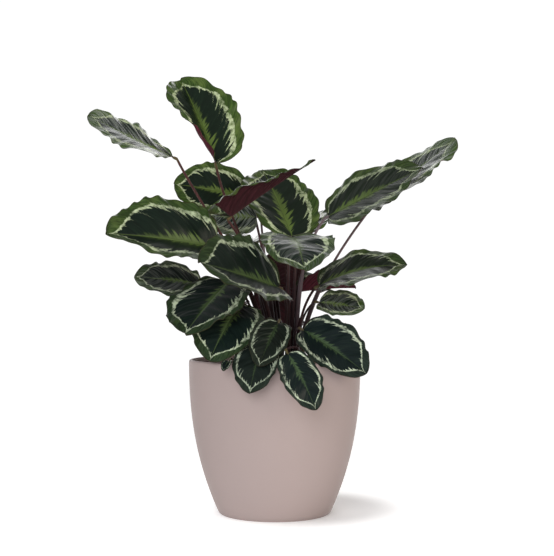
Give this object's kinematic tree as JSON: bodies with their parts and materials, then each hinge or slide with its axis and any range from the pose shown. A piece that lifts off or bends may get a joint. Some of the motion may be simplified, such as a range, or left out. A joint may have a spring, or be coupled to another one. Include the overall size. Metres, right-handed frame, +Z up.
{
  "type": "potted plant",
  "caption": "Potted calathea: broad oval leaves on slender stalks rise from a clump in soil, in a grow pot inside a tapered round cover pot with a flat foot",
  "frame": {"origin": "centre of the cover pot's flat foot, on the surface that the pot stands on", "axes": "+Z is up, along the pot's axis; -Y is the plant's front, the side that the picture shows; +X is to the right as seen from the front"},
  "size_m": [0.5442, 0.3879, 0.6543],
  "materials": {
    "pot": "matt, smooth, rose-taupe",
    "grow_pot": "matt black",
    "soil": "loose, rough, dark brown",
    "stalk": "smooth, slightly waxy, maroon",
    "leaf": "waxy green with a pale ring above, maroon below"
  },
  "bodies": {
    "root": {"cover_pot": "pot", "grow_pot": "grow_pot", "soil": "soil", "stalk_clump": "stalk", "leaf_crown": "leaf", "leaf_left_high": "leaf", "leaf_back_left": "leaf", "leaf_rolled": "leaf", "leaf_back_right": "leaf", "leaf_right_high": "leaf", "leaf_right_far": "leaf", "leaf_toward": "leaf", "leaf_left_big": "leaf", "leaf_centre": "leaf", "leaf_left_small": "leaf", "leaf_low_left_upper": "leaf", "leaf_low_left_lower": "leaf", "leaf_front_small": "leaf", "leaf_hang_left": "leaf", "leaf_hang_tiny": "leaf", "leaf_hang_right": "leaf", "leaf_right_low": "leaf", "leaf_right_small": "leaf", "leaf_right_mid": "leaf", "leaf_behind_centre": "leaf", "leaf_rear_left": "leaf", "leaf_rear_low_left": "leaf", "leaf_rear_hang_left": "leaf", "leaf_rear_high": "leaf", "leaf_rear_high_right": "leaf", "leaf_rear_hang": "leaf", "leaf_rear_droop": "leaf", "leaf_under_right": "leaf", "leaf_rear_right": "leaf", "leaf_rear_low_right": "leaf"}
  },
  "joints": []
}
